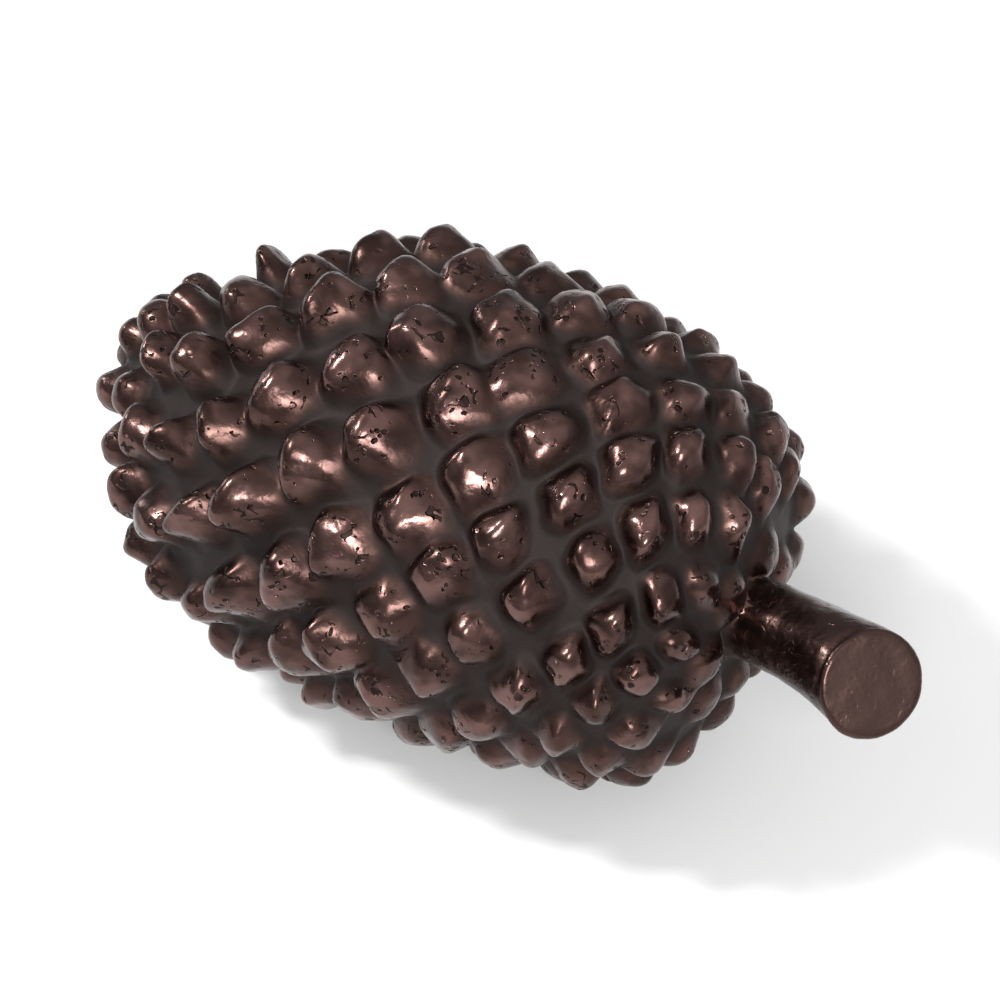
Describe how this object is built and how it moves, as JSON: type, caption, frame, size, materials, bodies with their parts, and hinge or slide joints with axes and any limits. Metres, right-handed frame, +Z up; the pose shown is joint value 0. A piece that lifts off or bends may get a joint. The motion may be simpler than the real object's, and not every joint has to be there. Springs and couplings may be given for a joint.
{
  "type": "cast bronze pine cone",
  "caption": "Life-size closed pine cone with a bent, sawn stem, cast in one piece of dark patinated bronze, lying on its side.",
  "frame": {"origin": "bottom centre of the box of the cone as it lies on its side", "axes": "+X along the cone's axis towards the stem, -X towards the tip, +Z up from the surface it lies on"},
  "size_m": [0.1495, 0.0836, 0.0803],
  "materials": {
    "patinated_bronze": "cast bronze with a dark brown rubbed patina: crests burnished to a satin copper brown, valleys matt and nearly black, small casting pits"
  },
  "bodies": {
    "root": {"pine_cone": "patinated_bronze"}
  },
  "joints": []
}
